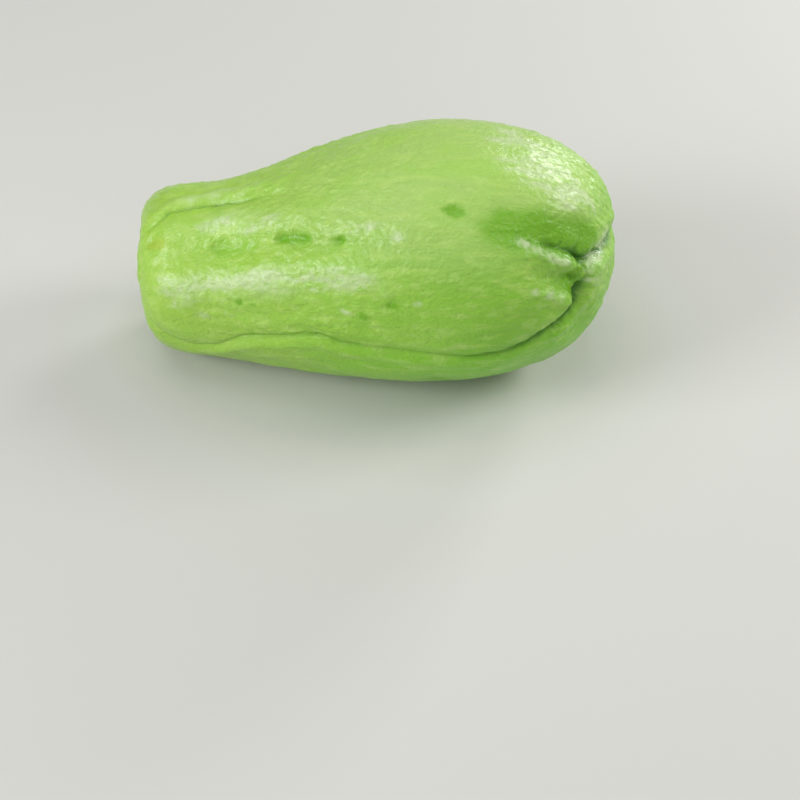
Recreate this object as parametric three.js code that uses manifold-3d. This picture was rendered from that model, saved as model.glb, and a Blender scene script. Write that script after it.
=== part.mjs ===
// A chayote squash: one whole fruit, as picked, lying on its straighter side.
//
// The long axis runs along X, from the slim stalk end at -X to the broad blossom end at +X. Y runs
// across the fruit, with the side that shows the folds at -Y. Z is up, and the fruit rests on Z = 0.
// Sizes are in millimetres and angles in degrees.
//
// The body is a pear form with both ends closed by rounded caps. Its skin is then worked like clay:
// creases, valleys, swells and dimples are strokes laid over the form, each pushed in or out along
// the skin's normal. A place on the skin is [reach, turn]: reach is the distance over the skin from
// the blossom tip, and turn is the angle round the body from its top towards the front.

import * as THREE from "three";
import { mergeVertices } from "three/addons/utils/BufferGeometryUtils.js";
import Module from "manifold-3d";

// The pear form

const LENGTH = 144.9;
const BELLY_RADIUS = 39.5;
const BELLY_X = 22;
const NECK_RADIUS = 25.6;
const NECK_SPAN = 86; // from the belly back to the slimmest part of the neck
const SIDE_BEND = { stalk: 0.0006, blossom: 0.0019 }; // per mm: both ends bow back from the front
const STALK_CAP = { depth: 20, fullness: 3.4 };
const BLOSSOM_CAP = { depth: LENGTH / 2 - BELLY_X, fullness: 2.25 };

// How it rests: the straight underside is arched a little, so that it stands on the belly and the neck

const REST_CUT = 0.5; // depth of the flats where the skin has settled
const ARCH = { from: -52, to: 12, height: 0.9 };

// The skin's mesh: a box cut into squares and blown up onto the form

const STEPS_ALONG = 38;
const STEPS_ROUND = 27;
const TIP_CROWDING = 0.3; // how much the squares crowd towards the blossom tip
const GATHER = { pull: 0.62, reach: 0.14 }; // how they gather at the creases, in radians round the middle

// Strokes: each has its width in mm, and points [reach, turn, depth], with depth in mm inwards

const CREASES = [
  // the front seam, from the stalk end to the mouth
  { width: 2.1, points: [[168, 72, 0], [165, 84, 0.7], [162.6, 95, 1], [156, 104, 1.1], [149, 106, 1],
    [142.5, 104, 1.1], [137, 97, 1.3], [131, 93.5, 1.4], [123, 93, 1.5], [118, 91, 1.6], [113, 89, 1.6],
    [108, 90, 1.5], [102, 94.5, 1.5], [94, 96, 1.3], [81, 97.5, 1.2], [66, 100, 1.5], [58, 100, 1.9],
    [49.5, 97.5, 2.2], [42.3, 93, 2.5], [37, 90, 2.8], [33.8, 86, 3], [31.8, 82, 3.2], [31, 77, 3.4]] },
  // the mouth, over the blossom tip from front to back
  { width: 2.3, points: [[31, 77, 3.4], [30, 73, 2.8], [29.2, 70, 1.8], [28.8, 65, 1.2], [29.3, 59, 1.5],
    [30.5, 54.5, 3.4], [27.7, 54.5, 3.2], [24.4, 52.5, 3.2], [20.5, 48, 3.2], [16.2, 42, 3.2],
    [9, 14, 2.8], [10, -53, 2.8], [18, -84, 3.2], [29, -97, 3]] },
  // the back seam, from the mouth to the stalk end
  { width: 2.4, points: [[29, -97, 3], [42, -103, 2.2], [58, -105, 1.5], [78, -104, 1], [98, -101, 0.7],
    [118, -99, 0.9], [138, -98, 0.7], [154, -102, 0]] },
  // the fold above the tongue
  { width: 2, points: [[30.5, 54.5, 3.8], [34.4, 50, 2.6], [38.1, 48, 1.9], [42.6, 46, 1.9],
    [46.4, 45, 1.1], [49.5, 43.5, 0.8], [53, 42, 0]] },
  // its twin on the back
  { width: 2.8, points: [[18, -84, 0], [26, -70, 2.2], [36, -60, 1.9], [48, -54, 1.2], [62, -50, 0.5],
    [76, -48, 0]] },
  // the fold below the back seam
  { width: 2.6, points: [[29, -97, 0], [36, -112, 1.8], [46, -122, 1.4], [58, -130, 0.8], [74, -135, 0]] },
  // the fold under the end
  { width: 3, points: [[12, 100, 0], [20, 140, 1.6], [30, 160, 1.5], [42, 170, 1], [56, 174, 0]] },
  // the groove along the top of the neck
  { width: 1.9, points: [[170, 24, 0.2], [165, 18, 0.9], [160.5, 12.5, 1.4], [156.5, 5, 1.6],
    [150, 1.5, 1.8], [143, 0.5, 1.7], [135, 2, 1.4], [128, 4.5, 0.9], [121, 8, 0.4], [113, 11, 0]] },
  // the groove along the back of the neck
  { width: 2.2, points: [[168, -46, 0.3], [158, -56, 1], [144, -60, 1.1], [128, -58, 0.7], [110, -53, 0]] },
];

const SWELLS = [
  // the hollow beside the tongue
  { width: 3.6, points: [[50, 58, 0], [43, 62, 0.9], [37, 66.5, 2], [33.4, 70, 3.1], [31, 74.5, 1.8]] },
  // the tongue
  { width: 3, points: [[53, 44, -0.3], [50, 46, -0.8], [44.6, 50, -1.2], [40.6, 53, -1.7],
    [36.6, 56.5, -1.7], [34, 60, -0.8], [33, 64, 0]] },
  // the lip under the hollow
  { width: 2.6, points: [[54, 67, 0], [47, 68, -0.6], [42, 70.5, -1], [38.4, 74, -1.5],
    [36, 77.5, -1.1], [36, 83, -0.3]] },
  // the end lobe, and the dip in it under the seam
  { width: 3.2, points: [[17.5, 52, -0.4], [20.7, 59, -1.1], [23.4, 65, -1.7], [25.4, 71, -2],
    [26.4, 78, -1.4], [26, 85, -0.5]] },
  { width: 5, points: [[31, 86, 0.8], [29, 93, 1.6], [30, 103, 1.2], [34, 120, 0]] },
  // the flatter tip
  { width: 11, points: [[2, 90, 1.1], [2, -90, 1.1]] },
  // the slope of the top lobe down to the fold, and the crest above it
  { width: 7, points: [[60, 30, 0.4], [52, 36, 1.2], [44, 41, 1.8], [36, 44, 1.9], [30, 46, 1.2],
    [24, 42, 0]] },
  { width: 7, points: [[50, 16, 0], [44, 19, -0.8], [36, 20, -1.1], [28, 20, -0.7], [20, 16, 0]] },
  // the shoulder along the top of the neck, and the crest beside the groove
  { width: 9, points: [[171, -38, -1.5], [162, -30, -1.4], [148, -28, -1.2], [128, -28, -1],
    [108, -30, -0.8], [84, -32, 0]] },
  { width: 2.8, points: [[164, 6, -0.3], [160, 3, -0.7], [155.5, -4, -0.9], [149, -7, -0.8],
    [142, -8, -0.8], [134, -6, -0.7], [126, -3, -0.4], [118, 2, 0]] },
  // the lip under the front seam
  { width: 2.8, points: [[157, 112, -0.1], [149, 113, -0.3], [142, 111, -0.4], [136, 104, -0.5],
    [129, 100.5, -0.5], [122, 100, -0.4], [116, 97.5, -0.5], [110, 96.5, -0.5], [103, 100, -0.4],
    [94, 102.5, -0.3], [81, 104, -0.2], [66, 106, 0]] },
  // the two long ribs on the front of the neck, and the valley between them
  { width: 5, points: [[162, 19, 0], [156, 19, -0.8], [147, 17, -1], [134, 17, -1], [122, 22, -0.8],
    [109, 30, -0.4], [98, 34, 0]] },
  { width: 4.4, points: [[162, 40, 0.3], [157, 43, 0.7], [150, 38, 1.2], [139, 36, 1.2], [129, 36, 1.3],
    [116, 39, 1.2], [102, 44, 0.9], [86, 48, 0.4], [70, 50, 0]] },
  { width: 7, points: [[160, 57, -0.4], [152, 57, -1], [142, 55, -1.2], [130, 57, -1.3],
    [118, 59, -1.3], [106, 57, -1], [94, 58, -0.7], [80, 59, 0]] },
  // ribs and valleys on the back and the underside
  { width: 7, points: [[166, -76, -0.4], [146, -80, -0.9], [120, -78, -0.6], [90, -76, 0]] },
  { width: 7, points: [[164, -132, -0.3], [144, -134, -0.8], [112, -132, -0.4], [84, -130, 0]] },
  { width: 8, points: [[172, 138, 0.6], [162, 140, 1.3], [150, 142, 1.3], [136, 141, 0.5],
    [124, 138, -0.4], [112, 137, -0.6], [96, 136, 0]] },
  { width: 12, points: [[70, -20, 0], [54, -14, 0.6], [38, -10, 0.6], [24, -20, 0]] },
  // the flatter cheek under the front seam, and the rounded corner of the stalk end
  { width: 15, points: [[28, 130, 0.3], [45, 132, 1.7], [62, 134, 1.5], [84, 134, 0.3], [100, 134, 0]] },
  { width: 11, points: [[178, 100, 1], [170, 108, 1.3], [160, 112, 0.6], [150, 112, 0]] },
];

// Dimples: [reach, turn, depth, radius]

const DIMPLES = [
  [119, 35.5, 0.9, 1.9], [103.5, 41, 1.1, 1.5], [71.4, 32, 0.8, 2.2], [162, 29, 0.9, 3],
  [96, -72, 0.9, 2.4], [60, -76, 0.8, 3.4], [132, -116, 0.8, 2.4], [74, 128, 0.8, 3.6],
];

// The stalk end: the hollow that the stalk grew in, the furrows that run out of it as [turn, length,
// depth], and the low round scar that the stalk left

const STALK_HOLLOW = { depth: 3.4, radius: 9 };
const STALK_FURROWS = [
  [12, 15, 0.9], [52, 11, 0.6], [92, 14, 0.9], [131, 12, 0.6], [170, 13, 0.8], [208, 15, 0.9],
  [252, 11, 0.6], [291, 14, 0.8], [333, 12, 0.7],
];
const FURROW_WIDTH = 2.4;
const FURROW_START = 5; // mm from the stalk pole
const STALK_SCAR = { radius: 3.4, height: 1.3, sunk: 3, sides: 20 };

// Form

const clamp01 = (t) => THREE.MathUtils.clamp(t, 0, 1);
const radians = THREE.MathUtils.degToRad;

/** Radius of the pear at x before its ends close. */
function girth(x) {
  const back = clamp01((BELLY_X - x) / NECK_SPAN);
  return THREE.MathUtils.lerp(BELLY_RADIUS, NECK_RADIUS, (1 - Math.cos(Math.PI * back)) / 2);
}

/** How far a cap has closed at share t of its depth: 1 where it starts and 0 at its pole. */
function capShare(t, fullness) {
  return Math.pow(1 - Math.pow(clamp01(t), fullness), 1 / fullness);
}

function bodyRadius(x) {
  const stalkSide = (STALK_CAP.depth - LENGTH / 2 - x) / STALK_CAP.depth;
  const blossomSide = (x - BELLY_X) / BLOSSOM_CAP.depth;
  return girth(x) * capShare(stalkSide, STALK_CAP.fullness) * capShare(blossomSide, BLOSSOM_CAP.fullness);
}

function makeMeridian(steps = 2400) {
  const points = [];
  for (let i = 0; i <= steps; i++) {
    const x = (-LENGTH / 2) * Math.cos((Math.PI * i) / steps);
    points.push(new THREE.Vector3(x, i === 0 || i === steps ? 0 : bodyRadius(x), 0));
  }
  const reach = [0];
  for (let i = 1; i <= steps; i++) reach.push(reach[i - 1] + points[i].distanceTo(points[i - 1]));
  return { points, reach, length: reach[steps] };
}

const meridian = makeMeridian();

/** Point [x, radius] of the outline at share u of the way over the skin from the stalk pole. */
function outlineAt(u) {
  const wanted = clamp01(u) * meridian.length;
  let low = 0;
  let high = meridian.reach.length - 1;
  while (high - low > 1) {
    const middle = (low + high) >> 1;
    if (meridian.reach[middle] < wanted) low = middle;
    else high = middle;
  }
  const t = (wanted - meridian.reach[low]) / (meridian.reach[high] - meridian.reach[low]);
  const point = meridian.points[low].clone().lerp(meridian.points[high], t);
  return [point.x, point.y];
}

function centreline(x) {
  const arch = clamp01((x - ARCH.from) / (ARCH.to - ARCH.from));
  const lift = ARCH.height * Math.sin(Math.PI * arch) ** 2;
  const bend = x < BELLY_X ? SIDE_BEND.stalk : SIDE_BEND.blossom;
  return [bend * (x - BELLY_X) ** 2, girth(x) - REST_CUT + lift];
}

/** Point of the plain pear form at share u from the stalk pole, at an angle round from the top. */
function formPoint(u, angle) {
  const [x, r] = outlineAt(u);
  const [y, z] = centreline(x);
  return new THREE.Vector3(x, y - r * Math.sin(angle), z + r * Math.cos(angle));
}

/** A place on the skin as a direction, so that a path can run over a pole. */
function placeDirection(u, angle) {
  const ring = Math.sin(Math.PI * u);
  return new THREE.Vector3(-Math.cos(Math.PI * u), -ring * Math.sin(angle), ring * Math.cos(angle));
}

function directionPlace(d) {
  return [Math.acos(THREE.MathUtils.clamp(-d.x, -1, 1)) / Math.PI, Math.atan2(-d.y, d.z)];
}

// Strokes

const SAMPLES_PER_SPAN = 16;
const CREASE_BOTTOM = 0.5; // radius in mm

/** A stroke's points as close samples of direction, position and depth on the plain form. */
function strokeSamples(points) {
  const curve = new THREE.CatmullRomCurve3(
    points.map(([reach, turn]) => placeDirection(1 - reach / meridian.length, radians(turn))),
    false,
    "catmullrom",
  );
  const samples = [];
  const count = (points.length - 1) * SAMPLES_PER_SPAN;
  for (let i = 0; i <= count; i++) {
    const direction = curve.getPoint(i / count).normalize();
    const [u, angle] = directionPlace(direction);
    const span = Math.min(Math.floor(i / SAMPLES_PER_SPAN), points.length - 2);
    const t = i / SAMPLES_PER_SPAN - span;
    const depth = THREE.MathUtils.lerp(points[span][2], points[span + 1][2], t);
    samples.push({ direction, at: formPoint(u, angle), depth });
  }
  return samples;
}

/** A crease is a sharp valley between two lobes that roll into it, a little rounded at the bottom. */
function creaseShape(distance, width) {
  return Math.exp((CREASE_BOTTOM - Math.hypot(distance, CREASE_BOTTOM)) / width);
}

/** A swell or a valley is round. */
const swellShape = (distance, width) => Math.exp(-((distance / width) ** 2));

function strokeDepth(point, samples, width, shape) {
  let nearest = samples[0];
  let least = Infinity;
  for (const sample of samples) {
    const d = sample.at.distanceToSquared(point);
    if (d < least) {
      least = d;
      nearest = sample;
    }
  }
  return nearest.depth * shape(Math.sqrt(least), width);
}

const dimpleStroke = ([reach, turn, depth, radius]) => ({
  width: radius,
  points: [[reach, turn, depth], [reach + 1, turn, depth]],
});

function furrowStroke([turn, length, depth]) {
  const start = meridian.length - FURROW_START;
  const points = [[start, turn, depth], [start - 0.5 * length, turn + 3, depth], [start - length, turn, 0]];
  return { width: FURROW_WIDTH, points };
}

const withSamples = (stroke) => ({ ...stroke, samples: strokeSamples(stroke.points) });
const creases = CREASES.map(withSamples);
const rounds = [
  ...SWELLS,
  ...DIMPLES.map(dimpleStroke),
  ...STALK_FURROWS.map(furrowStroke),
  dimpleStroke([meridian.length - 1, 0, STALK_HOLLOW.depth, STALK_HOLLOW.radius]),
].map(withSamples);

/** Where creases meet, the deepest counts. Swells, valleys and dimples add up. */
function totalDepth(point) {
  const crease = Math.max(...creases.map((s) => strokeDepth(point, s.samples, s.width, creaseShape)));
  return rounds.reduce((sum, s) => sum + strokeDepth(point, s.samples, s.width, swellShape), crease);
}

// Meshes

/** A direction moved towards the creases near it, so that the squares are small where the skin folds. */
function gather(direction) {
  const pull = new THREE.Vector3();
  let share = 0;
  for (const { samples } of creases) {
    let nearest = samples[0].direction;
    for (const s of samples) {
      const closer = s.direction.distanceToSquared(direction) < nearest.distanceToSquared(direction);
      if (closer) nearest = s.direction;
    }
    const near = Math.exp(-nearest.distanceToSquared(direction) / GATHER.reach ** 2);
    pull.addScaledVector(nearest.clone().sub(direction), near);
    share += near;
  }
  return direction.clone().addScaledVector(pull, GATHER.pull / Math.max(1, share)).normalize();
}

/** A closed surface of squares on the pear form, with no poles. */
function formGeometry() {
  const box = new THREE.BoxGeometry(2, 2, 2, STEPS_ALONG, STEPS_ROUND, STEPS_ROUND);
  box.deleteAttribute("normal");
  box.deleteAttribute("uv");
  const geometry = mergeVertices(box, 1e-4);
  const position = geometry.getAttribute("position");
  const even = (t) => Math.tan((Math.PI / 4) * t);
  for (let i = 0; i < position.count; i++) {
    const corner = new THREE.Vector3().fromBufferAttribute(position, i);
    const direction = new THREE.Vector3(even(corner.x), even(corner.y), even(corner.z)).normalize();
    const [s, angle] = directionPlace(direction);
    const u = s + (TIP_CROWDING * Math.sin(Math.PI * s)) / Math.PI;
    position.setXYZ(i, ...formPoint(...directionPlace(gather(placeDirection(u, angle)))).toArray());
  }
  geometry.computeVertexNormals();
  return geometry;
}

function workSkin(geometry) {
  const position = geometry.getAttribute("position");
  const normal = geometry.getAttribute("normal");
  for (let i = 0; i < position.count; i++) {
    const point = new THREE.Vector3().fromBufferAttribute(position, i);
    const outward = new THREE.Vector3().fromBufferAttribute(normal, i);
    point.addScaledVector(outward, -totalDepth(point));
    position.setXYZ(i, point.x, point.y, point.z);
  }
  return geometry;
}

/** The scar left by the stalk: a low round button, set into its hollow and facing out of it. */
function scarGeometry() {
  const { radius, height, sunk, sides } = STALK_SCAR;
  const foot = radius * 1.1;
  const outline = [
    [0, -sunk], [foot, -sunk], [foot, 0], [radius, height * 0.8], [radius * 0.8, height], [0, height],
  ].map(([r, h]) => new THREE.Vector2(r, h));
  const geometry = new THREE.LatheGeometry(outline, sides);
  const pole = formPoint(0, 0);
  geometry.rotateZ(Math.PI / 2); // its face looks along -X
  geometry.translate(pole.x + STALK_HOLLOW.depth, pole.y, pole.z);
  return geometry;
}

// Joining and cutting

const wasm = await Module();
wasm.setup();

function toSolid(geometry) {
  const bare = geometry.clone();
  for (const name of Object.keys(bare.attributes)) if (name !== "position") bare.deleteAttribute(name);
  const merged = mergeVertices(bare, 1e-3);
  return new wasm.Manifold(
    new wasm.Mesh({
      numProp: 3,
      vertProperties: new Float32Array(merged.getAttribute("position").array),
      triVerts: new Uint32Array(merged.index.array),
    }),
  );
}

function toGeometry(solid) {
  const mesh = solid.getMesh();
  return new THREE.BufferGeometry()
    .setAttribute("position", new THREE.BufferAttribute(new Float32Array(mesh.vertProperties), 3))
    .setIndex(new THREE.BufferAttribute(new Uint32Array(mesh.triVerts), 1));
}

/** Everything below the surface that the fruit rests on. */
function groundGeometry() {
  const side = LENGTH * 2;
  return new THREE.BoxGeometry(side, side, side).translate(0, 0, -side / 2);
}

function makeFruit() {
  const skin = toSolid(workSkin(formGeometry()));
  const whole = skin.add(toSolid(scarGeometry())).subtract(toSolid(groundGeometry()));
  const geometry = toGeometry(whole);
  geometry.computeVertexNormals();
  const flesh = new THREE.MeshStandardMaterial({ color: 0x93c455, roughness: 0.34, metalness: 0 });
  const mesh = new THREE.Mesh(geometry, flesh);
  mesh.name = "chayote";
  return mesh;
}

const chayote = new THREE.Group();
chayote.add(makeFruit());

export default chayote;
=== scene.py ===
"""A chayote squash: one whole fruit, as picked, lying on its straighter side.

The long axis runs along X, from the slim stalk end at -X to the broad blossom end at +X. The side
that shows the folds of the mouth is at -Y, Z is up, and the fruit rests on Z = 0.

The skin is worked like clay. It starts as a plain pear form, and folds, valleys, swells and dimples
are strokes laid over that form, each pushed in or out along the skin's normal. A place on the skin
is (reach, turn): reach is the distance over the skin from the blossom tip, in millimetres, and turn
is the angle round the body from its top towards the front, in degrees.
"""

from collections import namedtuple
from math import pi, radians

import bmesh
import bpy
import numpy as np
from bpy.props import FloatProperty, FloatVectorProperty, PointerProperty
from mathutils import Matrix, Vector, noise


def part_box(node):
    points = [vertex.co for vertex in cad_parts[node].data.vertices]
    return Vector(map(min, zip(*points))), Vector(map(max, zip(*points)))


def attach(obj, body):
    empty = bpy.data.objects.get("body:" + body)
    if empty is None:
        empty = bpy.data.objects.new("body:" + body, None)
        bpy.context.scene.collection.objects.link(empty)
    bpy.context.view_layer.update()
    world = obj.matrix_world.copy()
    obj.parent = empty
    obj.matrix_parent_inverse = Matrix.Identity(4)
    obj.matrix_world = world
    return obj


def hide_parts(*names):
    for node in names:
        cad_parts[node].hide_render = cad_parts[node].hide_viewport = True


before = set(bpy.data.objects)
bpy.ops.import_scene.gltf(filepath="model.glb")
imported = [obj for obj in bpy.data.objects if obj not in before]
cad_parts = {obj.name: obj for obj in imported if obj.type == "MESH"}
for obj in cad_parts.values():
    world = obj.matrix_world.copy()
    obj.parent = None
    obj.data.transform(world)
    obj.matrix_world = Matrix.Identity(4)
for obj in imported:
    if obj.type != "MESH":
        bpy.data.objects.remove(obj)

bl_info = {
    "name": "Chayote Squash",
    "version": (1, 0, 0),
    "blender": (4, 2, 0),
    "location": "View3D > Sidebar > Chayote",
    "description": "Models a whole chayote squash with its folds, stalk scar and waxy skin",
    "category": "Add Mesh",
}

MM = 0.001
BODY_LOW, BODY_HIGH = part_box("chayote")


def linear(code):
    """An sRGB hex colour as linear red, green, blue and alpha."""
    channels = [int(code[i : i + 2], 16) / 255 for i in (1, 3, 5)]
    spread = [c / 12.92 if c <= 0.04045 else ((c + 0.055) / 1.055) ** 2.4 for c in channels]
    return (*spread, 1.0)


# Settings


class FruitSettings(bpy.types.PropertyGroup):
    """Sizes of the fruit."""

    length: FloatProperty(
        name="Length",
        description="From the stalk end to the blossom end of the plain form",
        default=144.9 * MM,
        unit="LENGTH",
    )
    belly: FloatProperty(
        name="Belly",
        description="Diameter of the broad half",
        default=79 * MM,
        unit="LENGTH",
    )
    neck: FloatProperty(
        name="Neck",
        description="Diameter of the slim half",
        default=51.2 * MM,
        unit="LENGTH",
    )
    folds: FloatProperty(
        name="Folds",
        description="Depth of the folds, as a share of this fruit's own",
        default=1.0,
        subtype="FACTOR",
    )
    lumps: FloatProperty(
        name="Lumps",
        description="Height of the low lumps along the neck",
        default=0.5 * MM,
        unit="LENGTH",
    )
    pebbles: FloatProperty(
        name="Pebbles",
        description="Height of the fine pebbling of the skin",
        default=0.38 * MM,
        unit="LENGTH",
        precision=5,
    )
    wrinkles: FloatProperty(
        name="Wrinkles",
        description="Height of the fine wrinkles that run along the skin",
        default=0.12 * MM,
        unit="LENGTH",
        precision=5,
    )
    scar: FloatProperty(
        name="Stalk scar",
        description="Diameter of the corky scar that the stalk left",
        default=7.4 * MM,
        unit="LENGTH",
    )


class ColourSettings(bpy.types.PropertyGroup):
    """Colours of the fruit, of the shade, sheen and highlights painted on it, and of the table under
    it.
    """

    skin: FloatVectorProperty(
        name="Skin",
        description="Green of the broad half",
        default=linear("#86c036"),
        size=4,
        subtype="COLOR",
    )
    neck: FloatVectorProperty(
        name="Neck",
        description="Paler, yellower green of the slim half",
        default=linear("#a0ca4c"),
        size=4,
        subtype="COLOR",
    )
    # painted sheen: a pale, milky green laid over the top of the fruit in place of the soft shine
    # from above
    top_sheen: FloatVectorProperty(
        name="Sunny side",
        description="Pale, milky green of the side that grew in the sun",
        default=linear("#a8cb6c"),
        size=4,
        subtype="COLOR",
    )
    # painted shade: the lower half is laid over with a deeper, more saturated green, darker towards
    # the bottom
    painted_shade: FloatVectorProperty(
        name="Shaded side",
        description="Deeper green of the lower half, which grew out of the sun",
        default=linear("#74c300"),
        size=4,
        subtype="COLOR",
    )
    # painted shade: dark green laid down inside the folds, darker where they are deep
    fold: FloatVectorProperty(
        name="Fold",
        description="Deep green down inside the folds",
        default=linear("#417c0c"),
        size=4,
        subtype="COLOR",
    )
    # painted highlight: a milky green laid over the raised swells, where the shine falls
    ridge_highlight: FloatVectorProperty(
        name="Ridge",
        description="Milky green where the skin is stretched over a ridge",
        default=linear("#c3dba0"),
        size=4,
        subtype="COLOR",
    )
    cork: FloatVectorProperty(
        name="Cork",
        description="Dry tissue of the stalk scar",
        default=linear("#a08a5e"),
        size=4,
        subtype="COLOR",
    )
    table: FloatVectorProperty(
        name="Table",
        description="Surface that the fruit lies on",
        default=linear("#ccccc8"),
        size=4,
        subtype="COLOR",
    )


# The pear form, in millimetres

BELLY_X = 22
NECK_SPAN = 86  # from the belly back to the slimmest part of the neck
SIDE_BEND = (0.0006, 0.0019)  # towards the stalk and towards the blossom, per mm
STALK_CAP = (20, 3.4)  # depth of the rounded end, and how full it is
BLOSSOM_FULLNESS = 2.25
REST_CUT = 0.5  # depth of the flats where the skin has settled
ARCH = (-52, 12, 0.9)  # where the underside starts and stops being arched, and how high
MERIDIAN_STEPS = 2400


class Pear:
    """The plain pear form that the skin is worked on."""

    def __init__(self, settings):
        self.half = settings.length / MM / 2
        self.belly = settings.belly / MM / 2
        self.neck = settings.neck / MM / 2
        self.x = -self.half * np.cos(np.linspace(0, pi, MERIDIAN_STEPS + 1))
        self.r = self.girth(self.x) * self.closing(self.x)
        self.r[[0, -1]] = 0
        steps = np.hypot(np.diff(self.x), np.diff(self.r))
        self.travel = np.concatenate([[0], np.cumsum(steps)])
        self.reach = self.travel[-1]

    def girth(self, x):
        """Radius at x before the ends close."""
        back = np.clip((BELLY_X - x) / NECK_SPAN, 0, 1)
        return self.belly + (self.neck - self.belly) * (1 - np.cos(pi * back)) / 2

    def closing(self, x):
        """How far the two ends have closed at x: 1 along the body and 0 at the poles."""
        depth, fullness = STALK_CAP
        stalk = np.clip((depth - self.half - x) / depth, 0, 1)
        blossom = np.clip((x - BELLY_X) / (self.half - BELLY_X), 0, 1)
        return (1 - stalk**fullness) ** (1 / fullness) * (
            1 - blossom**BLOSSOM_FULLNESS
        ) ** (1 / BLOSSOM_FULLNESS)

    def centre(self, x):
        """The middle of the body at x."""
        start, stop, height = ARCH
        lift = height * np.sin(pi * np.clip((x - start) / (stop - start), 0, 1)) ** 2
        bend = np.where(x < BELLY_X, *SIDE_BEND)
        return bend * (x - BELLY_X) ** 2, self.girth(x) - REST_CUT + lift

    def surface(self, directions):
        """Points of the plain form in given directions."""
        share, turn = place_of(directions)
        travel = share * self.reach
        x = np.interp(travel, self.travel, self.x)
        r = np.interp(travel, self.travel, self.r)
        y, z = self.centre(x)
        return np.stack([x, y - r * np.sin(turn), z + r * np.cos(turn)], 1)

    def directions(self, places):
        """Directions of places given as (reach, turn)."""
        places = np.asarray(places, float)
        return direction_of(1 - places[:, 0] / self.reach, np.radians(places[:, 1]))


def direction_of(share, turn):
    """A place on the skin as a direction, so that a path can run over a pole."""
    ring = np.sin(pi * share)
    return np.stack([-np.cos(pi * share), -ring * np.sin(turn), ring * np.cos(turn)], 1)


def place_of(directions):
    """Share of the way over the skin from the stalk pole, and turn in radians."""
    x, y, z = directions.T
    return np.arccos(np.clip(-x, -1, 1)) / pi, np.arctan2(-y, z)


# Strokes on the skin: points are (reach, turn, depth inwards)

Stroke = namedtuple("Stroke", "width roll lip pucker points")
Path = namedtuple("Path", "directions at depth along")

FOLDS = [
    # the front seam, from the stalk end to the mouth
    Stroke(2.1, 0.75, 0.15, 0.12, [
        (168, 72, 0), (165, 84, 0.7), (162.6, 95, 1), (156, 104, 1.1), (149, 106, 1),
        (142.5, 104, 1.1), (137, 97, 1.3), (131, 93.5, 1.4), (123, 93, 1.5), (118, 91, 1.6),
        (113, 89, 1.6), (108, 90, 1.5), (102, 94.5, 1.5), (94, 96, 1.3), (81, 97.5, 1.2),
        (66, 100, 1.5), (58, 100, 1.9), (49.5, 97.5, 2.2), (42.3, 93, 2.5), (37, 90, 2.8),
        (33.8, 86, 3), (31.8, 82, 3.2), (31, 77, 3.4),
    ]),
    # the mouth, over the blossom tip from front to back
    Stroke(2.3, 0.85, 0.12, 0.35, [
        (31, 77, 3.4), (30, 73, 2.8), (29.2, 70, 1.8), (28.8, 65, 1.2), (29.3, 59, 1.5),
        (30.5, 54.5, 3.4), (27.7, 54.5, 3.2), (24.4, 52.5, 3.2), (20.5, 48, 3.2), (16.2, 42, 3.2),
        (9, 14, 2.8), (10, -53, 2.8), (18, -84, 3.2), (29, -97, 3),
    ]),
    # the back seam, from the mouth to the stalk end
    Stroke(2.4, 0.8, 0.16, 0.12, [
        (29, -97, 3), (42, -103, 2.2), (58, -105, 1.5), (78, -104, 1), (98, -101, 0.7),
        (118, -99, 0.9), (138, -98, 0.7), (154, -102, 0),
    ]),
    # the fold above the tongue
    Stroke(2, 0.85, 0.1, 1.1, [
        (30.5, 54.5, 3.8), (34.4, 50, 2.6), (38.1, 48, 1.9), (42.6, 46, 1.9), (46.4, 45, 1.1),
        (49.5, 43.5, 0.8), (53, 42, 0),
    ]),
    # its twin on the back
    Stroke(2.8, 0.8, 0.1, 0.25, [
        (18, -84, 0), (26, -70, 2.2), (36, -60, 1.9), (48, -54, 1.2), (62, -50, 0.5), (76, -48, 0),
    ]),
    # the fold below the back seam
    Stroke(2.6, 0.8, 0.1, 0.2, [
        (29, -97, 0), (36, -112, 1.8), (46, -122, 1.4), (58, -130, 0.8), (74, -135, 0),
    ]),
    # the fold under the end
    Stroke(3, 0.9, 0.05, 0.1, [
        (12, 100, 0), (20, 140, 1.6), (30, 160, 1.5), (42, 170, 1), (56, 174, 0),
    ]),
    # the groove along the top of the neck
    Stroke(1.2, 0.9, 0.05, 0.15, [
        (170, 24, 0.2), (165, 18, 0.9), (160.5, 12.5, 1.4), (156.5, 5, 1.8), (150, 1.5, 2),
        (143, 0.5, 1.9), (135, 2, 1.6), (128, 4.5, 1), (121, 8, 0.4), (113, 11, 0),
    ]),
    # the groove along the back of the neck
    Stroke(2.2, 0.9, 0.1, 0.1, [
        (168, -46, 0.3), (158, -56, 1), (144, -60, 1.1), (128, -58, 0.7), (110, -53, 0),
    ]),
]

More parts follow.
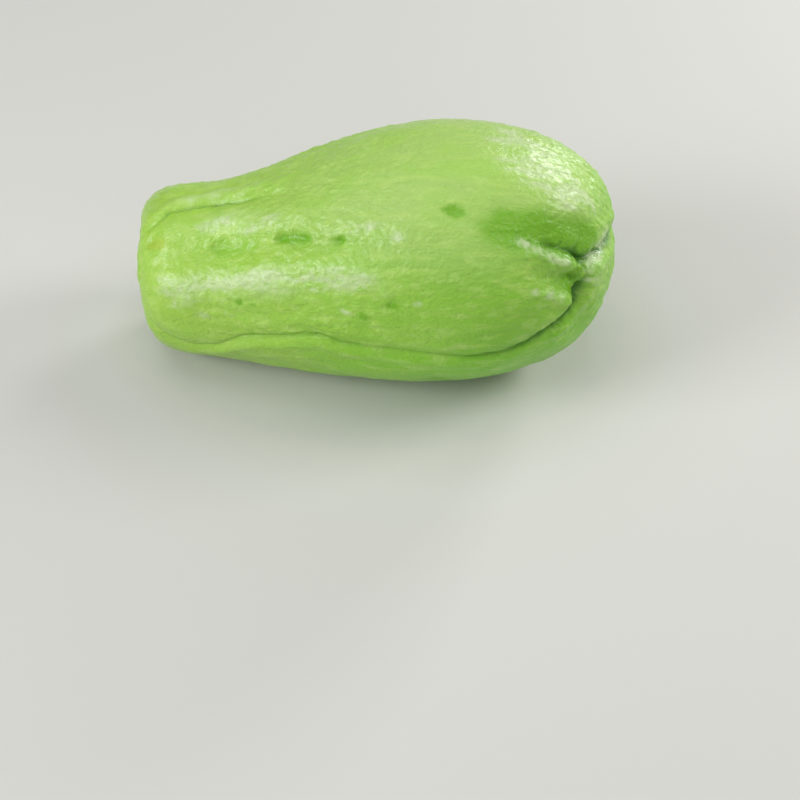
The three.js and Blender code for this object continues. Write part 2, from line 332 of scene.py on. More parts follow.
SWELLS = [
    # the hollow beside the tongue
    (3.6, [(50, 58, 0), (43, 62, 0.9), (37, 66.5, 2), (33.4, 70, 3.1), (31, 74.5, 1.8)]),
    # the tongue
    (3, [(53, 44, -0.3), (50, 46, -0.8), (44.6, 50, -1.2), (40.6, 53, -1.7), (36.6, 56.5, -1.7),
         (34, 60, -0.8), (33, 64, 0)]),
    # the lip under the hollow
    (2.6, [(54, 67, 0), (47, 68, -0.6), (42, 70.5, -1), (38.4, 74, -1.5), (36, 77.5, -1.1),
           (36, 83, -0.3)]),
    # the end lobe, and the dip in it under the seam
    (3.2, [(17.5, 52, -0.4), (20.7, 59, -1.1), (23.4, 65, -1.7), (25.4, 71, -2), (26.4, 78, -1.4),
           (26, 85, -0.5)]),
    (5, [(31, 86, 0.8), (29, 93, 1.6), (30, 103, 1.2), (34, 120, 0)]),
    # the flatter tip
    (11, [(2, 90, 1.1), (2, -90, 1.1)]),
    # the slope of the top lobe down to the fold, and the crest above it
    (7, [(60, 30, 0.4), (52, 36, 1.2), (44, 41, 1.8), (36, 44, 1.9), (30, 46, 1.2), (24, 42, 0)]),
    (7, [(50, 16, 0), (44, 19, -0.8), (36, 20, -1.1), (28, 20, -0.7), (20, 16, 0)]),
    # the shoulder along the top of the neck, and the crest beside the groove
    (9, [(171, -38, -1.5), (162, -30, -1.4), (148, -28, -1.2), (128, -28, -1), (108, -30, -0.8),
         (84, -32, 0)]),
    (1.9, [(164, 6, -0.3), (160, 3, -0.7), (155.5, -4, -0.9), (149, -7, -0.8), (142, -8, -0.8),
           (134, -6, -0.7), (126, -3, -0.4), (118, 2, 0)]),
    # the lip under the front seam
    (2, [(157, 112, -0.1), (149, 113, -0.3), (142, 111, -0.4), (136, 104, -0.5), (129, 100.5, -0.5),
         (122, 100, -0.4), (116, 97.5, -0.5), (110, 96.5, -0.5), (103, 100, -0.4), (94, 102.5, -0.3),
         (81, 104, -0.2), (66, 106, 0)]),
    # the two long ribs on the front of the neck, and the valley between them
    (5, [(162, 19, 0), (156, 19, -0.8), (147, 17, -1), (134, 17, -1), (122, 22, -0.8),
         (109, 30, -0.4), (98, 34, 0)]),
    (4.4, [(162, 40, 0.3), (157, 43, 0.7), (150, 38, 1.2), (139, 36, 1.2), (129, 36, 1.3),
           (116, 39, 1.2), (102, 44, 0.9), (86, 48, 0.4), (70, 50, 0)]),
    (7, [(160, 57, -0.4), (152, 57, -1), (142, 55, -1.2), (130, 57, -1.3), (118, 59, -1.3),
         (106, 57, -1), (94, 58, -0.7), (80, 59, 0)]),
    # ribs and valleys on the back and the underside
    (7, [(166, -76, -0.4), (146, -80, -0.9), (120, -78, -0.6), (90, -76, 0)]),
    (7, [(164, -132, -0.3), (144, -134, -0.8), (112, -132, -0.4), (84, -130, 0)]),
    (8, [(172, 138, 0.6), (162, 140, 1.3), (150, 142, 1.3), (136, 141, 0.5), (124, 138, -0.4),
         (112, 137, -0.6), (96, 136, 0)]),
    (12, [(70, -20, 0), (54, -14, 0.6), (38, -10, 0.6), (24, -20, 0)]),
    # the flatter cheek under the front seam, and the rounded corner of the stalk end
    (15, [(28, 130, 0.3), (45, 132, 1.7), (62, 134, 1.5), (84, 134, 0.3), (100, 134, 0)]),
    (11, [(178, 100, 1), (170, 108, 1.3), (160, 112, 0.6), (150, 112, 0)]),
]

# Wrinkles that fan out of the hollow, over the tongue: where each one ends
TONGUE_WRINKLES = [
    (29.8, 60), (31.2, 57), (33.2, 54.5), (35.4, 53), (37.8, 51.5), (40.6, 50), (43.8, 48.5),
]
FAN_START = (33.5, 71.5)

# Furrows that run out of the hollow at the stalk: (turn, length, depth)
STALK_FURROWS = [
    (12, 15, 0.9), (52, 11, 0.6), (92, 14, 0.9), (131, 12, 0.6), (170, 13, 0.8), (208, 15, 0.9),
    (252, 11, 0.6), (291, 14, 0.8), (333, 12, 0.7),
]

# Dimples, and small bumps where the depth is below zero: (reach, turn, depth, radius)
DIMPLES = [
    (121.5, 35, 0.9, 1.3), (118.5, 36, 0.8, 1.6), (115, 37, 0.5, 1.8), (103.5, 41, 1.1, 1.2),
    (71.4, 32, 0.8, 2.2), (162, 29, 0.9, 3), (141, 34, 0.6, 2), (89, 66, -0.5, 1.4),
    (88, 71, 0.6, 1.4), (150, 68, -0.5, 1.7), (96, -72, 0.9, 2.4), (60, -76, 0.8, 3.4),
    (132, -116, 0.8, 2.4), (74, 128, 0.8, 3.6),
]

# Coloured spots: (reach, turn, radius)
# dark green spots: some are the skin's own marks, and those in the dimples, in the hollow beside the
# tongue, on the slope of the top lobe above the fold and on the back are painted shade
DARK_SPOTS_AND_SHADE = [
    (121.5, 35, 1.5), (118, 36, 1.8), (114.5, 37.5, 1.6), (103.5, 41, 1.5), (71.8, 31, 1.7),
    (70, 33, 1.4), (88, 72, 1.2), (96, -72, 1.8), (60, -76, 2), (33.2, 69, 3), (35, 44, 6),
    (44, 42, 7), (54, 38, 6), (28, 44, 5), (26, -60, 6), (40, -64, 6), (134, 68, 1.1),
    (129.6, 70, 0.9), (96.6, 77, 1.6),
]
YELLOW_SPOTS = [(163, 29, 2), (159, 31, 1.8), (140, -84, 2)]
# painted highlights: pale spots laid where the shine falls on the end, the end lobe, the tongue, the
# ribs and the top of the neck
HIGHLIGHT_SPOTS = [
    (50, -13, 3), (45, -9, 3.5), (46.7, 5, 3.5), (39.6, 5, 3.5), (41, 17, 3.5), (34, 13, 3.5),
    (36, 24, 3), (29, 20, 3), (18, 37, 2.4), (20, 44, 2.6), (22.5, 51, 2.6), (25, 57, 2.4),
    (27, 63, 1.8), (26.5, 70, 1.8), (50.5, 45, 1.4), (46.2, 49, 1.6), (41.4, 52, 1.6),
    (37.7, 55, 1.4), (47, 68, 1.2), (42, 70.5, 1.4), (38.5, 74, 1.6), (157, 58, 2.8),
    (149, 60, 3.4), (141.6, 57, 3.4), (134, 56, 3.4), (126, 56, 3.4), (118, 58, 3.4),
    (110.7, 59, 3.4), (103, 60, 3.4), (96, 60, 2.8), (145, 20, 2.4), (138, 18, 2.6),
    (131, 26, 2.4), (125, 23, 2.4), (151, -3, 1.2), (143.6, -5, 1.2), (135.7, -3, 1.2),
    (55, -22, 3), (58, -8, 3.4), (53, 6, 3.4), (50, 15, 2.6), (155, 70, 1.8), (145.5, 77, 1.6),
    (138, 77, 1.4), (101.7, 75, 1.2), (80.5, 71, 0.9), (100, 37, 1.8), (94, 37, 1.8), (87, 42, 1.8),
]

STALK_HOLLOW = (3.4, 9)  # depth and radius of the hollow that the stalk grew in

SAMPLES_PER_SPAN = 24
FAR = 4.5  # widths past which a fold does nothing
DRIFT_SEED = 1  # unset, the seed comes from the clock


def catmull_rom(points, steps):
    """A smooth curve through points, with a number of steps from each to the next."""
    ends = np.vstack([2 * points[0] - points[1], points, 2 * points[-1] - points[-2]])
    t = np.linspace(0, 1, steps, endpoint=False)[:, None]
    spans = []
    for a, b, c, d in zip(ends, ends[1:], ends[2:], ends[3:]):
        spans.append(
            b + 0.5 * t * ((c - a) + t * ((2 * a - 5 * b + 4 * c - d) + t * (3 * b - a - 3 * c + d)))
        )
    return np.vstack([*spans, points[-1:]])


def make_path(pear, points):
    """A path of (reach, turn, depth) points as close samples on the plain form."""
    points = np.asarray(points, float)
    directions = catmull_rom(pear.directions(points[:, :2]), SAMPLES_PER_SPAN)
    directions /= np.linalg.norm(directions, axis=1, keepdims=True)
    at = pear.surface(directions)
    depth = np.interp(
        np.linspace(0, len(points) - 1, len(at)), np.arange(len(points)), points[:, 2]
    )
    along = np.concatenate([[0], np.cumsum(np.linalg.norm(np.diff(at, axis=0), axis=1))])
    return Path(directions, at, depth, along)


def nearest_sample(points, samples):
    """Index of the nearest sample to each point."""
    nearest = np.zeros(len(points), int)
    for start in range(0, len(points), 8000):
        part = points[start : start + 8000]
        gaps = (part**2).sum(1)[:, None] - 2 * part @ samples.T + (samples**2).sum(1)
        nearest[start : start + 8000] = gaps.argmin(1)
    return nearest


def beside(points, normals, path, limit):
    """Points near a path: which ones, their distance, side, depth and distance along it."""
    low, high = path.at.min(0) - limit, path.at.max(0) + limit
    which = np.flatnonzero(((points > low) & (points < high)).all(1))
    near = points[which]
    nearest = nearest_sample(near, path.at)
    distance = np.full(len(near), np.inf)
    side = np.ones(len(near))
    place = np.zeros(len(near))
    for shift in (-1, 0):
        first = np.clip(nearest + shift, 0, len(path.at) - 2)
        start, span = path.at[first], path.at[first + 1] - path.at[first]
        share = ((near - start) * span).sum(1) / np.maximum((span**2).sum(1), 1e-9)
        share = np.clip(share, 0, 1)
        off = near - start - share[:, None] * span
        gap = np.linalg.norm(off, axis=1)
        closer = gap < distance
        distance[closer] = gap[closer]
        place[closer] = (first + share)[closer]
        side[closer] = np.sign((np.cross(span, off) * normals[which]).sum(1))[closer]
    samples = np.arange(len(path.at))
    keep = distance < limit
    depth = np.interp(place, samples, path.depth)
    along = np.interp(place, samples, path.along)
    return which[keep], distance[keep], side[keep], depth[keep], along[keep]


def noise_at(points, size, seed=0.0):
    """Smooth noise from -1 to 1 at each point, in lumps of about the given size."""
    return np.array([noise.noise(Vector(p)) for p in np.asarray(points) / size + seed])


def drift_at(points, size, seed=0.0):
    """Smooth random offsets, up to 1 each way, and the same ones in each run."""
    noise.seed_set(DRIFT_SEED)
    return np.array([noise.noise_vector(Vector(p)) for p in np.asarray(points) / size + seed])


def ramp(values, start, stop, least=0):
    """Values that rise from a least one to 1 between start and stop."""
    return np.clip((values - start) / (stop - start), least, 1)


# Skin relief, with widths and sizes in millimetres

STRAYING = [(0.7, 13, 2.0), (0.3, 4.5, 9.0)]  # how far paths stray, size of the waves, seed
FOLD_SHADE_DEPTH = 3  # depth at which the painted shade inside a fold is as dark as it gets
LIP_AT = 2.1  # from a fold to the crest of its lip, in widths of the fold
PUCKER_SPACING = 1.2
PUCKER_LENGTH = 9
TONGUE_WRINKLE = (0.75, [(0.15, 0), (0.4, 0.8), (0.75, 0.9), (1, 0.3)])  # width, (share, depth)
FURROW_WIDTH = 1.8
FURROW_START = 5  # from the stalk pole
SPOT_STRETCH = (0.55, 1, 1)  # spots are longer along the fruit than round it
MEAN_RADIUS = 34  # of the fruit, for patterns that go round it

# Where lumps and pebbles grow strong: from, to, and the least that is left elsewhere
NECK_RELIEF = (34, -16, 0.25)  # x, from the belly to the neck
END_RELIEF = (0.66, 0.78)  # share of the way over the skin, towards the blossom end
TOP_RELIEF = (20, 37, 0.2)  # height


def lips_and_puckers(stroke, points, distance, side, depth, along):
    """Height of a fold's puffed lips and of the small puckers that run out of it."""
    lip_at = LIP_AT * stroke.width
    lip = stroke.lip * depth * np.exp(-(((distance - lip_at) / stroke.width) ** 2))
    swelling = 1 + 1.4 * noise_at(points, 6.5, 1.0)
    # the two sides of a fold are far apart in the noise, so that their puckers differ
    place = np.stack([along / PUCKER_SPACING, side * 7, distance / PUCKER_LENGTH], 1)
    wrinkle = noise_at(place, 1.0, 4.0)
    reach = np.exp(-((distance / (1.5 * stroke.width)) ** 2)) * distance / (distance + 0.7)
    return lip * swelling + stroke.pucker * np.sqrt(np.maximum(depth, 0)) * wrinkle * reach


def small_strokes(pear):
    """The strokes that follow a rule: dimples, wrinkles of the tongue and furrows at the stalk."""
    strokes = [(w, [(r, t, d), (r + 1, t, d)]) for r, t, d, w in DIMPLES]
    depth, radius = STALK_HOLLOW
    strokes.append((radius, [(pear.reach - 1, 0, depth), (pear.reach - 1, 180, depth)]))
    width, profile = TONGUE_WRINKLE
    for end in TONGUE_WRINKLES:
        points = []
        for share, depth in profile:
            reach, turn = ((1 - share) * a + share * b for a, b in zip(FAN_START, end))
            points.append((reach, turn, depth))
        strokes.append((width, points))
    for turn, length, depth in STALK_FURROWS:
        start = pear.reach - FURROW_START
        strokes.append((FURROW_WIDTH, [
            (start, turn, depth), (start - 0.5 * length, turn + 3, depth), (start - length, turn, 0),
        ]))
    return strokes


def work_skin(pear, points, normals, settings):
    """Three values for every point: its depth under the plain form, how much painted shade it gets
    from lying down in a fold, from 0 to 1, and how much of its depth comes from the swells."""
    wander = points
    for far, size, seed in STRAYING:
        wander = wander + far * drift_at(points, size, seed)
    valley = np.zeros(len(points))
    raised = np.zeros(len(points))
    inside = np.zeros(len(points))
    for stroke in FOLDS:
        path = make_path(pear, stroke.points)
        which, distance, side, depth, along = beside(wander, normals, path, FAR * stroke.width)
        cut = depth * np.exp(-((distance / stroke.width) ** stroke.roll))
        valley[which] = np.maximum(valley[which], cut)
        raised[which] += lips_and_puckers(stroke, points[which], distance, side, depth, along)
        # painted shade inside the fold: darkest at its bottom and where it is deep
        down = np.clip(depth / FOLD_SHADE_DEPTH, 0, 1) * np.exp(-distance / (0.8 * stroke.width))
        inside[which] = np.maximum(inside[which], down)
    swell = np.zeros(len(points))
    for width, stroke_points in [*SWELLS, *small_strokes(pear)]:
        path = make_path(pear, stroke_points)
        which, distance, _, depth, _ = beside(wander, normals, path, 3 * width)
        uneven = 1 + 0.8 * noise_at(points[which], 3 * width + 3, width)
        swell[which] += uneven * depth * np.exp(-((distance / width) ** 2))
    return settings.folds * (valley - raised) + swell, inside, swell


def spotted(pear, points, spots):
    """How far each point is inside a coloured spot, from 0 to 1, with ragged edges."""
    inside = np.zeros(len(points))
    for reach, turn, radius in spots:
        middle = pear.surface(pear.directions([(reach, turn)]))[0]
        near = np.flatnonzero(np.linalg.norm(points - middle, axis=1) < 3 * radius)
        off = (points[near] - middle) * SPOT_STRETCH
        ragged = 1 + 0.7 * noise_at(points[near], 0.8 * radius, 3.0)
        inside[near] += np.exp(-(np.linalg.norm(off, axis=1) / radius) ** 2) * ragged
    return np.clip(inside, 0, 1)


def drawn_out(pear, directions, length, width):
    """Where each direction is, in steps of a length along the fruit and a width round it."""
    share, turn = place_of(directions)
    girth = MEAN_RADIUS * np.stack([np.cos(turn), np.sin(turn)], 1)
    return np.column_stack([share * pear.reach / length, girth / width])


def highlight_amount(pear, points, directions):
    """How much painted highlight each point gets, from 0 up: in pale spots broken into specks and
    into streaks along the fruit.
    """
    specks = noise_at(points, 1.2, 7.0)
    streaks = noise_at(drawn_out(pear, directions, 9, 2.4), 1, 21.0)
    return spotted(pear, points, HIGHLIGHT_SPOTS) * np.maximum(0, 1 + 0.9 * specks + 1.3 * streaks)


def lumps(pear, points, directions, settings):
    """Low lumps and pebbles on the neck, the top and the end, and fine wrinkles all along."""
    share, _ = place_of(directions)
    neck = ramp(points[:, 0], *NECK_RELIEF)
    end = ramp(share, *END_RELIEF)
    top = ramp(points[:, 2], *TOP_RELIEF)
    long = points * (0.6, 1, 1)
    height = noise_at(long, 12, 3.0) * neck + 0.75 * noise_at(long, 5.2, 5.0) * np.maximum(neck, end)
    pebbles = noise_at(points * (0.8, 1, 1), 1.7, 8.0) + 0.6 * noise_at(points, 1.15, 2.0)
    lengthwise = drawn_out(pear, directions, 14, 1.7)
    wrinkles = noise_at(lengthwise, 1, 12.0) + 0.5 * noise_at(lengthwise * (1, 1.8, 1.8), 1, 15.0)
    return (
        settings.lumps / MM * height
        + settings.pebbles / MM * pebbles * top * np.maximum(0.2 + 0.8 * neck, 0.9 * end)
        + settings.wrinkles / MM * wrinkles * (0.8 + end)
    )


# Meshes

# The skin starts as a box with 128 squares along each edge: 32, and each of those cut into 4
SQUARES = (32, 4)
TIP_CROWDING = 0.3  # how much the squares crowd towards the blossom tip
GATHER = (0.6, 0.13)  # how strongly they gather at the folds, and from how far in radians


def new_piece(name, mesh_object):
    mesh_object.name = name
    mesh_object.data.name = name
    return mesh_object


def clear_selection():
    bpy.ops.object.select_all(action="DESELECT")


def add_ball_of_squares():
    """A box cut into even squares, as a start for the skin."""
    clear_selection()
    bpy.ops.mesh.primitive_cube_add(size=2)
    bpy.ops.object.mode_set(mode="EDIT")
    for squares in SQUARES:
        bpy.ops.mesh.subdivide(number_cuts=squares - 1)
    bpy.ops.object.mode_set(mode="OBJECT")
    return bpy.context.object


def read_points(mesh):
    flat = np.empty(len(mesh.vertices) * 3)
    mesh.vertices.foreach_get("co", flat)
    return flat.reshape(-1, 3)


def write_points(mesh, points):
    mesh.vertices.foreach_set("co", np.ascontiguousarray(points, dtype=float).ravel())
    mesh.update()


def read_normals(mesh):
    flat = np.empty(len(mesh.vertices) * 3)
    mesh.vertex_normals.foreach_get("vector", flat)
    return flat.reshape(-1, 3)


def add_attribute(mesh, name, values):
    mesh.attributes.new(name, "FLOAT", "POINT").data.foreach_set("value", np.asarray(values, float))


def gather(pear, directions):
    """Directions moved towards the folds near them, so that the squares are small there."""
    pull, reach = GATHER
    move = np.zeros_like(directions)
    share = np.zeros(len(directions))
    for stroke in FOLDS:
        path = make_path(pear, stroke.points)
        off = path.directions[nearest_sample(directions, path.directions)] - directions
        near = np.exp(-(off**2).sum(1) / reach**2)
        move += off * near[:, None]
        share += near
    moved = directions + pull * move / np.maximum(1, share)[:, None]
    return moved / np.linalg.norm(moved, axis=1, keepdims=True)


def skin_directions(pear, corners):
    """Where each corner of the box goes on the fruit, as directions."""
    even = np.tan(pi / 4 * corners)
    even /= np.linalg.norm(even, axis=1, keepdims=True)
    share, turn = place_of(even)
    share = share + TIP_CROWDING * np.sin(pi * share) / pi
    return gather(pear, direction_of(share, turn))


def settle(points, low, high):
    """Stretch points, by a hair, to fill the box between two corners."""
    own_low, own_high = points.min(0), points.max(0)
    return low + (points - own_low) * (high - low) / (own_high - own_low)


class CHAYOTE_OT_skin(bpy.types.Operator):
    """Model the body of the fruit with its folds"""

    bl_idname = "chayote.skin"
    bl_label = "Skin"

    def execute(self, context):
        settings = context.scene.chayote_fruit
        pear = Pear(settings)
        fruit = new_piece("skin", add_ball_of_squares())
        mesh = fruit.data
        directions = skin_directions(pear, read_points(mesh))
        plain = pear.surface(directions)
        write_points(mesh, plain)
        normals = read_normals(mesh)
        depth, inside, swell = work_skin(pear, plain, normals, settings)
        raised = lumps(pear, plain, directions, settings) - depth
        worked = plain + normals * raised[:, None]
        worked[:, 2] = np.maximum(worked[:, 2], 0)
        write_points(mesh, settle(worked * MM, np.array(BODY_LOW), np.array(BODY_HIGH)))
        share, _ = place_of(directions)
        # height over the table, which places the painted shade below and the painted sheen on top
        add_attribute(mesh, "height", plain[:, 2])
        # the painted shade inside the folds
        add_attribute(mesh, "fold", inside)
        # how far the swells raise (above 0) or sink (below 0) the skin, which places the painted
        # highlight on ridges and the painted shade in hollows
        add_attribute(mesh, "ridge", np.clip(-swell, -2, 2))
        add_attribute(mesh, "reach", share)
        # dark spots: the skin's own marks, and painted shade in dimples and hollows
        add_attribute(mesh, "marks_and_shade", spotted(pear, plain, DARK_SPOTS_AND_SHADE))
        add_attribute(mesh, "blush", spotted(pear, plain, YELLOW_SPOTS))
        # painted highlights in pale, streaky spots
        add_attribute(mesh, "painted_highlight", highlight_amount(pear, plain, directions))
        fruit.data.materials.append(waxy_skin(context.scene.chayote_colours))
        clear_selection()
        fruit.select_set(True)
        context.view_layer.objects.active = fruit
        bpy.ops.object.shade_smooth()
        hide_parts("chayote")
        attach(fruit, "root")
        return {"FINISHED"}


# The scar at the bottom of the stalk's hollow, in millimetres
SCAR_SIDES = 48
SCAR_THICKNESS = 2.4
SCAR_LIFT = 0.2  # from the bottom of the hollow to the middle of the scar's thickness
SCAR_RINGS = [(0.8, 0.35), (0.7, 0.05), (0.7, -0.3), (0.6, -0.1)]  # width, and how far it rises
SCAR_GRAINS = 0.12


class CHAYOTE_OT_scar(bpy.types.Operator):
    """Model the corky scar that the stalk left"""

    bl_idname = "chayote.scar"
    bl_label = "Stalk scar"

    def execute(self, context):
        settings = context.scene.chayote_fruit
        pear = Pear(settings)
        x, y, z = pear.surface(np.array([[-1.0, 0.0, 0.0]]))[0]
        depth, _ = STALK_HOLLOW
        clear_selection()
        bpy.ops.mesh.primitive_cylinder_add(
            vertices=SCAR_SIDES,
            radius=settings.scar / 2,
            depth=SCAR_THICKNESS * MM,
            location=((x + depth - SCAR_LIFT) * MM, y * MM, z * MM),
            rotation=(0, -pi / 2, 0),
        )
        scar = new_piece("stalk_scar", context.object)
        bpy.ops.object.mode_set(mode="EDIT")
        bpy.ops.mesh.select_all(action="DESELECT")
        shape = bmesh.from_edit_mesh(scar.data)
        cap = max(shape.faces, key=lambda face: face.normal.z)
        cap.select_set(True)
        bmesh.update_edit_mesh(scar.data)
        for inward, outward in SCAR_RINGS:
            bpy.ops.mesh.inset(thickness=inward * MM, depth=outward * MM)
        bpy.ops.object.mode_set(mode="OBJECT")
        bpy.ops.object.transform_apply(location=True, rotation=True, scale=True)
        smooth = scar.modifiers.new("Rounding", "SUBSURF")
        smooth.levels = smooth.render_levels = 2
        bpy.ops.object.modifier_apply(modifier=smooth.name)
        points = read_points(scar.data)
        grains = SCAR_GRAINS * MM * noise_at(points / MM, 1.1, 6.0)
        write_points(scar.data, points + read_normals(scar.data) * grains[:, None])
        bpy.ops.object.shade_smooth()
        scar.data.materials.append(scar_cork(context.scene.chayote_colours))
        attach(scar, "root")
        return {"FINISHED"}


# Materials


def add_node(tree, kind, inputs, **settings):
    """Add a shader node with its settings, and set or link each of the given inputs."""
    node = tree.nodes.new(kind)
    for name, value in settings.items():
        setattr(node, name, value)
    for name, value in inputs.items():
        if isinstance(value, bpy.types.NodeSocket):
            tree.links.new(value, node.inputs[name])
        else:
            node.inputs[name].default_value = value
    return node


def new_material(name, finish):
    """A material whose shader has plain values for a finish."""
    material = bpy.data.materials.new(name)
    material.use_nodes = True
    shader = material.node_tree.nodes["Principled BSDF"]
    for socket, value in finish.items():
        shader.inputs[socket].default_value = value
    return material, material.node_tree, shader


def tinted(tree, colour, layers):
    """Lay tints over a colour, each where its mask goes from one value to another."""
    for mask, start, stop, share, tint in layers:
        amount = add_node(
            tree,
            "ShaderNodeMapRange",
            {"Value": mask, "From Min": start, "From Max": stop, "To Max": share},
            interpolation_type="SMOOTHSTEP",
        )
        inputs = {0: amount.outputs[0], 6: colour, 7: tint}
        colour = add_node(tree, "ShaderNodeMix", inputs, data_type="RGBA").outputs[2]
    return colour


def waxy_skin(colours):
    """Chayote skin: firm wet-looking plant tissue under a thin natural wax.

    Light goes a little way in, so the green glows, and the wax gives a soft shine on top.
    """
    finish = {
        "Roughness": 0.36,
        "IOR": 1.42,
        "Specular IOR Level": 0.5,
        "Subsurface Weight": 0.15,
        "Subsurface Radius": (0.5, 1.0, 0.25),
        "Subsurface Scale": 1.5 * MM,
        "Coat Weight": 0.2,
        "Coat Roughness": 0.2,
    }
    material, tree, shader = new_material("Waxy chayote skin", finish)
    place = add_node(tree, "ShaderNodeTexCoord", {}).outputs["Object"]
    worked = {
        name: add_node(tree, "ShaderNodeAttribute", {}, attribute_name=name).outputs["Fac"]
        for name in ("reach", "height", "ridge", "fold", "marks_and_shade", "blush", "painted_highlight")
    }
    # noise over the skin: size of its lumps in mm, how far they are drawn out lengthwise, detail
    patterns = {
        "clouds": (13, 2.2, 3),
        "streaks": (2.4, 7, 2),
        "flecks": (3.2, 1.8, 2),
        "grain": (0.9, 1.3, 3),
    }
    noises = {}
    for name, (size, stretch, detail) in patterns.items():
        drawn = add_node(tree, "ShaderNodeMapping", {"Vector": place, "Scale": (1 / stretch, 1, 1)})
        inputs = {"Vector": drawn.outputs[0], "Scale": 1 / (size * MM), "Detail": detail}
        noises[name] = add_node(tree, "ShaderNodeTexNoise", inputs).outputs[0]
    colour = tinted(tree, tuple(colours.skin), [
        # painted shade: deeper green below 46 mm, full from 20 mm down
        (worked["height"], 46, 20, 1, tuple(colours.painted_shade)),
        (worked["reach"], 0.7, 0.2, 0.9, tuple(colours.neck)),
        # painted sheen: paler, milkier green over the top, from 50 mm up
        (worked["height"], 50, 75, 0.9, tuple(colours.top_sheen)),
        (noises["clouds"], 0.4, 0.7, 0.5, linear("#9fd050")),
        (noises["streaks"], 0.5, 0.75, 0.35, linear("#c0da70")),
        (noises["flecks"], 0.52, 0.68, 0.35, linear("#b8da76")),
        # painted highlight: milkier green on the raised swells
        (worked["ridge"], 0.4, 1.8, 0.45, tuple(colours.ridge_highlight)),
        # painted shade: darker green in the sunken swells and hollows
        (worked["ridge"], -0.4, -1.8, 0.35, linear("#6eae10")),
        # dark green spots: partly the skin's own marks and partly painted shade in dimples and
        # hollows
        (worked["marks_and_shade"], 0.1, 1, 0.8, linear("#6cac08")),
        (worked["blush"], 0.2, 0.9, 0.35, linear("#b3bd3a")),
        # painted shade down inside the folds
        (worked["fold"], 0.15, 0.8, 1, tuple(colours.fold)),
        # painted highlights: pale, milky green in streaky spots where the shine falls
        (worked["painted_highlight"], 0.1, 1.4, 0.62, linear("#c6d8a8")),
    ])
    tree.links.new(colour, shader.inputs["Base Color"])
    grain = add_node(
        tree, "ShaderNodeBump", {"Strength": 1, "Distance": 0.42 * MM, "Height": noises["grain"]}
    )
    tree.links.new(grain.outputs[0], shader.inputs["Normal"])
    return material


def scar_cork(colours):
    """Cork that healed over the cut: dry, matt and a little rough, in grains of 0.9 mm."""
    material, tree, shader = new_material("Dry cork of the stalk scar", {"Roughness": 0.85})
    place = add_node(tree, "ShaderNodeTexCoord", {}).outputs["Object"]
    inputs = {"Vector": place, "Scale": 1 / (0.9 * MM), "Detail": 4}
    grain = add_node(tree, "ShaderNodeTexNoise", inputs).outputs[0]
    colour = tinted(tree, linear("#6e5f36"), [(grain, 0.35, 0.7, 1, tuple(colours.cork))])
    tree.links.new(colour, shader.inputs["Base Color"])
    return material


def table_top(colours):
    """A plain matt table."""
    return new_material("Matt table", {"Base Color": tuple(colours.table), "Roughness": 0.9})[0]


# Stage

CAMERA_AT = (26.75 * MM, -463.9 * MM, 443.4 * MM)
CAMERA_TURN = 2.4  # degrees round Z
CAMERA_TILT = 45.2  # degrees down
LENS = 92.6  # for a sensor 36 mm wide
TABLE_SIZE = 6
TABLE_DROP = 0.05 * MM  # keeps the table just clear of the flats under the fruit
LIT_PLACE = (0, 0, 0.04)
ROOM_LIGHT = 0.2
# soft window and ceiling lights: name, place, width and height, power in watts, colour
LIGHTS = [
    ("Left window", (-0.62, -0.33, 0.44), (0.36, 0.28), 3.6, "#ffffff"),
    ("Right window", (0.7, 0.12, 0.5), (0.34, 0.26), 3.1, "#fffdf8"),
    ("Far window", (0.49, 0.7, 0.32), (0.26, 0.18), 3.2, "#ffffff"),
    ("Ceiling", (-0.15, 0, 1.0), (0.9, 0.9), 3.2, "#ffffff"),
    ("Front fill", (0.1, -0.95, 0.62), (1.2, 0.6), 1.8, "#ffffff"),
]


def add_light(name, at, size, power, colour):
    data = bpy.data.lights.new(name, "AREA")
    data.shape = "RECTANGLE"
    data.size, data.size_y = size
    data.energy = power
    data.color = linear(colour)[:3]
    lamp = bpy.data.objects.new(name, data)
    lamp.location = at
    lamp.rotation_euler = (Vector(LIT_PLACE) - Vector(at)).to_track_quat("-Z", "Y").to_euler()
    bpy.context.scene.collection.objects.link(lamp)


def add_world():
    """An evenly white room."""
    world = bpy.data.worlds.new("Studio")
    world.use_nodes = True
    room = world.node_tree.nodes["Background"]
    room.inputs["Color"].default_value = linear("#ffffff")
    room.inputs["Strength"].default_value = ROOM_LIGHT
    bpy.context.scene.world = world


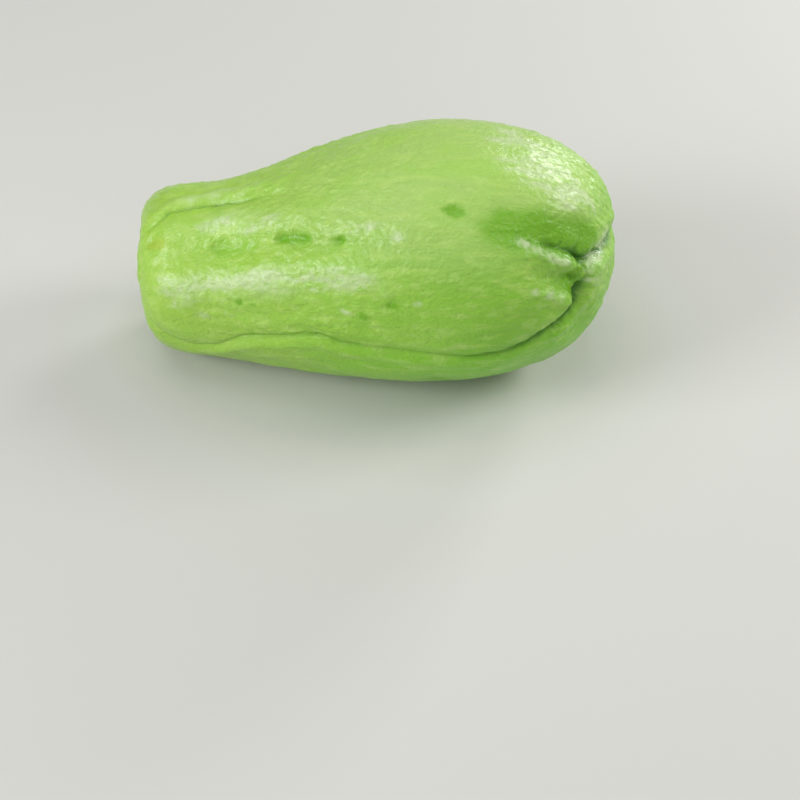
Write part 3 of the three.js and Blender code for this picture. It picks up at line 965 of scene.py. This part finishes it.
def add_camera():
    data = bpy.data.cameras.new("Camera")
    data.lens = LENS
    camera = bpy.data.objects.new("Camera", data)
    camera.location = CAMERA_AT
    camera.rotation_euler = (radians(90 - CAMERA_TILT), 0, radians(CAMERA_TURN))
    bpy.context.scene.collection.objects.link(camera)
    return camera


class CHAYOTE_OT_stage(bpy.types.Operator):
    """Set the table, the lights and the camera"""

    bl_idname = "chayote.stage"
    bl_label = "Stage"

    def execute(self, context):
        scene = context.scene
        clear_selection()
        bpy.ops.mesh.primitive_plane_add(size=TABLE_SIZE, location=(0, 0, -TABLE_DROP))
        floor = new_piece("table", context.object)
        bpy.ops.object.transform_apply(location=True, rotation=True, scale=True)
        floor.data.materials.append(table_top(scene.chayote_colours))
        for light in LIGHTS:
            add_light(*light)
        add_world()
        scene.camera = add_camera()
        scene.view_settings.view_transform = "Standard"
        return {"FINISHED"}


class CHAYOTE_PT_panel(bpy.types.Panel):
    """Pieces and settings of the fruit"""

    bl_label = "Chayote squash"
    bl_idname = "CHAYOTE_PT_panel"
    bl_space_type = "VIEW_3D"
    bl_region_type = "UI"
    bl_category = "Chayote"

    def draw(self, context):
        for group in (context.scene.chayote_fruit, context.scene.chayote_colours):
            for name in group.__annotations__:
                self.layout.prop(group, name)
        for operator in OPERATORS:
            self.layout.operator(operator.bl_idname)


OPERATORS = (CHAYOTE_OT_skin, CHAYOTE_OT_scar, CHAYOTE_OT_stage)
CLASSES = (FruitSettings, ColourSettings, *OPERATORS, CHAYOTE_PT_panel)


def register():
    for item in CLASSES:
        bpy.utils.register_class(item)
    bpy.types.Scene.chayote_fruit = PointerProperty(type=FruitSettings)
    bpy.types.Scene.chayote_colours = PointerProperty(type=ColourSettings)


def unregister():
    del bpy.types.Scene.chayote_colours
    del bpy.types.Scene.chayote_fruit
    for item in reversed(CLASSES):
        bpy.utils.unregister_class(item)


def main():
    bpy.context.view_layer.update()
    register()
    bpy.ops.chayote.skin()
    bpy.ops.chayote.scar()
    bpy.ops.chayote.stage()


if __name__ == "__main__":
    main()
